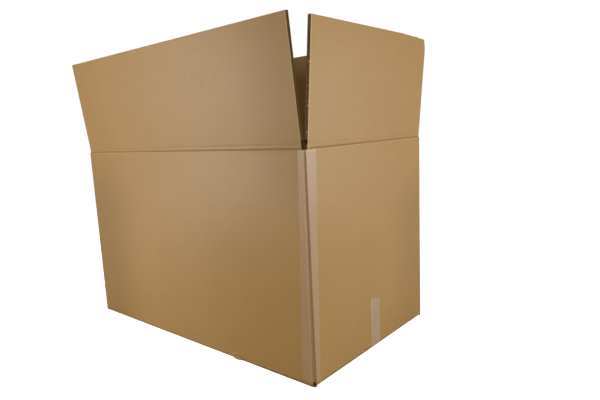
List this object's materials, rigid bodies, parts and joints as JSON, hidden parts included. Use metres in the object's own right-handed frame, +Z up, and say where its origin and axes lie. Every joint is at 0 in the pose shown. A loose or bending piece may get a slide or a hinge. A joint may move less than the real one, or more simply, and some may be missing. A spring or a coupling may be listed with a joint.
{
  "type": "corrugated carton",
  "caption": "Open-topped double-wall corrugated carton with hinged top flaps, a taped side joint and a taped, closed bottom.",
  "frame": {"origin": "on the floor under the middle of the case, where the seam tape crosses the middle of the bottom", "axes": "+X along the long panels towards the end with the crushed flap corner, +Y along the end panels away from the front panel, +Z up"},
  "size_m": [0.7897, 0.4876, 0.6922],
  "materials": {
    "kraft_board": "matt unbleached kraft liner",
    "paper_tape": "matt gummed paper, paler and pinker than the board",
    "film_tape": "buff packing film, slightly glossy"
  },
  "bodies": {
    "case": {"case_body": "kraft_board", "joint_tape": "paper_tape", "seam_tape": "film_tape"},
    "front_flap": {"front_flap": "kraft_board"},
    "right_flap": {"right_flap": "kraft_board"},
    "back_flap": {"back_flap": "kraft_board"},
    "left_flap": {"left_flap": "kraft_board"}
  },
  "joints": [
    {"name": "front_crease", "type": "hinge", "parent": "case", "child": "front_flap", "pos_m": [0, -0.2285, 0.4644], "axis": [-1, 0, 0], "range_deg": [-158.3, 96.7]},
    {"name": "right_crease", "type": "hinge", "parent": "case", "child": "right_flap", "pos_m": [0.381, 0, 0.457], "axis": [0, -1, 0], "range_deg": [-160, 95]},
    {"name": "back_crease", "type": "hinge", "parent": "case", "child": "back_flap", "pos_m": [0, 0.2285, 0.4644], "axis": [1, 0, 0], "range_deg": [-164, 91]},
    {"name": "left_crease", "type": "hinge", "parent": "case", "child": "left_flap", "pos_m": [-0.381, 0, 0.457], "axis": [0, 1, 0], "range_deg": [-163, 92]}
  ]
}
